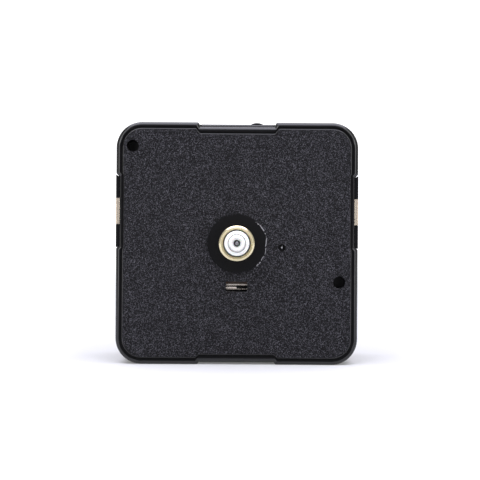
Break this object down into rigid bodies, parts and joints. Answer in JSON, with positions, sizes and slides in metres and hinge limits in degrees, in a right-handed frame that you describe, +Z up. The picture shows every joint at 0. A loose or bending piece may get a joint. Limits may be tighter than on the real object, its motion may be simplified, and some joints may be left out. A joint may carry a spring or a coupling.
{
  "type": "quartz clock movement",
  "caption": "Square battery quartz clock movement with a threaded brass bush, concentric hour, minute and seconds shafts on the front, a cell compartment and a hand-setting knob on the back.",
  "frame": {"origin": "on the hand axis, at the dial seat round the foot of the threaded bush", "axes": "-Y along the hand shafts towards the hands, +Z up, +X to the right seen from the front; the battery compartment is at +Y"},
  "size_m": [0.0562, 0.0388, 0.0561],
  "materials": {
    "cover_plastic": "spark-eroded moulded texture",
    "case_plastic": "satin moulded",
    "bush_brass": "turned",
    "white_plastic": "smooth moulded",
    "train_plastic": "smooth moulded",
    "arbor_steel": "polished",
    "contact_nickel": "nickel-plated strip",
    "stator_iron": "annealed",
    "board_laminate": "pressed laminate",
    "bobbin_plastic": "moulded",
    "copper_wire": "enamelled",
    "magnet": "sintered",
    "chip_resin": "cast",
    "crystal_can": "drawn",
    "capacitor_ceramic": "dipped"
  },
  "bodies": {
    "case": {"front_cover": "cover_plastic", "threaded_bush": "bush_brass", "hour_wheel_washer": "arbor_steel", "rear_case": "case_plastic", "middle_plate": "case_plastic", "stator_plate": "stator_iron", "coil_core": "stator_iron", "coil_bobbin": "bobbin_plastic", "coil_winding": "copper_wire", "stator_screws": "arbor_steel", "circuit_board": "board_laminate", "chip_blob": "chip_resin", "quartz_crystal": "crystal_can", "capacitor": "capacitor_ceramic", "positive_contact": "contact_nickel", "negative_contact": "contact_nickel"},
    "minute_hand_shaft": {"cannon_pinion": "white_plastic"},
    "hour_hand_shaft": {"hour_wheel": "white_plastic"},
    "centre_wheel_body": {"centre_wheel": "train_plastic", "clutch_spring": "arbor_steel"},
    "seconds_hand_shaft": {"seconds_wheel": "train_plastic", "seconds_arbor": "arbor_steel"},
    "third_wheel_body": {"third_wheel": "train_plastic", "third_arbor": "arbor_steel"},
    "intermediate_wheel_body": {"intermediate_wheel": "train_plastic", "intermediate_arbor": "arbor_steel"},
    "rotor": {"rotor_magnet": "magnet", "rotor_pinion": "train_plastic", "rotor_arbor": "arbor_steel"},
    "motion_wheel_body": {"motion_wheel": "white_plastic", "motion_arbor": "arbor_steel"},
    "hand_setting_shaft": {"setting_arbor": "white_plastic", "setting_knob": "case_plastic"}
  },
  "joints": [
    {"name": "minute_shaft_turn", "type": "hinge", "parent": "case", "child": "minute_hand_shaft", "pos_m": [0, 0, 0], "axis": [0, 1, 0], "continuous": true},
    {"name": "hour_shaft_turn", "type": "hinge", "parent": "case", "child": "hour_hand_shaft", "pos_m": [0, 0, 0], "axis": [0, 1, 0], "continuous": true},
    {"name": "centre_wheel_turn", "type": "hinge", "parent": "case", "child": "centre_wheel_body", "pos_m": [0, 0, 0], "axis": [0, 1, 0], "continuous": true},
    {"name": "seconds_shaft_turn", "type": "hinge", "parent": "case", "child": "seconds_hand_shaft", "pos_m": [0, 0, 0], "axis": [0, 1, 0], "continuous": true},
    {"name": "third_wheel_turn", "type": "hinge", "parent": "case", "child": "third_wheel_body", "pos_m": [0.00913, 0, 0.00332], "axis": [0, 1, 0], "continuous": true},
    {"name": "intermediate_wheel_turn", "type": "hinge", "parent": "case", "child": "intermediate_wheel_body", "pos_m": [-0.00831, 0, -0.0048], "axis": [0, 1, 0], "continuous": true},
    {"name": "rotor_turn", "type": "hinge", "parent": "case", "child": "rotor", "pos_m": [-0.01095, 0, -0.01204], "axis": [0, 1, 0], "continuous": true},
    {"name": "motion_wheel_turn", "type": "hinge", "parent": "case", "child": "motion_wheel_body", "pos_m": [0.01043, 0, -0.00094], "axis": [0, 1, 0], "continuous": true},
    {"name": "setting_knob_turn", "type": "hinge", "parent": "case", "child": "hand_setting_shaft", "pos_m": [0.01401, 0, -0.01078], "axis": [0, 1, 0], "continuous": true}
  ],
  "couplings": [
    {"joint": "hour_shaft_turn", "follows": "minute_shaft_turn", "ratio": 0.083333},
    {"joint": "centre_wheel_turn", "follows": "minute_shaft_turn", "ratio": 1},
    {"joint": "seconds_shaft_turn", "follows": "minute_shaft_turn", "ratio": 60},
    {"joint": "third_wheel_turn", "follows": "minute_shaft_turn", "ratio": -8},
    {"joint": "intermediate_wheel_turn", "follows": "minute_shaft_turn", "ratio": -300},
    {"joint": "rotor_turn", "follows": "minute_shaft_turn", "ratio": 1800},
    {"joint": "motion_wheel_turn", "follows": "minute_shaft_turn", "ratio": -0.33333},
    {"joint": "setting_knob_turn", "follows": "minute_shaft_turn", "ratio": 1}
  ]
}
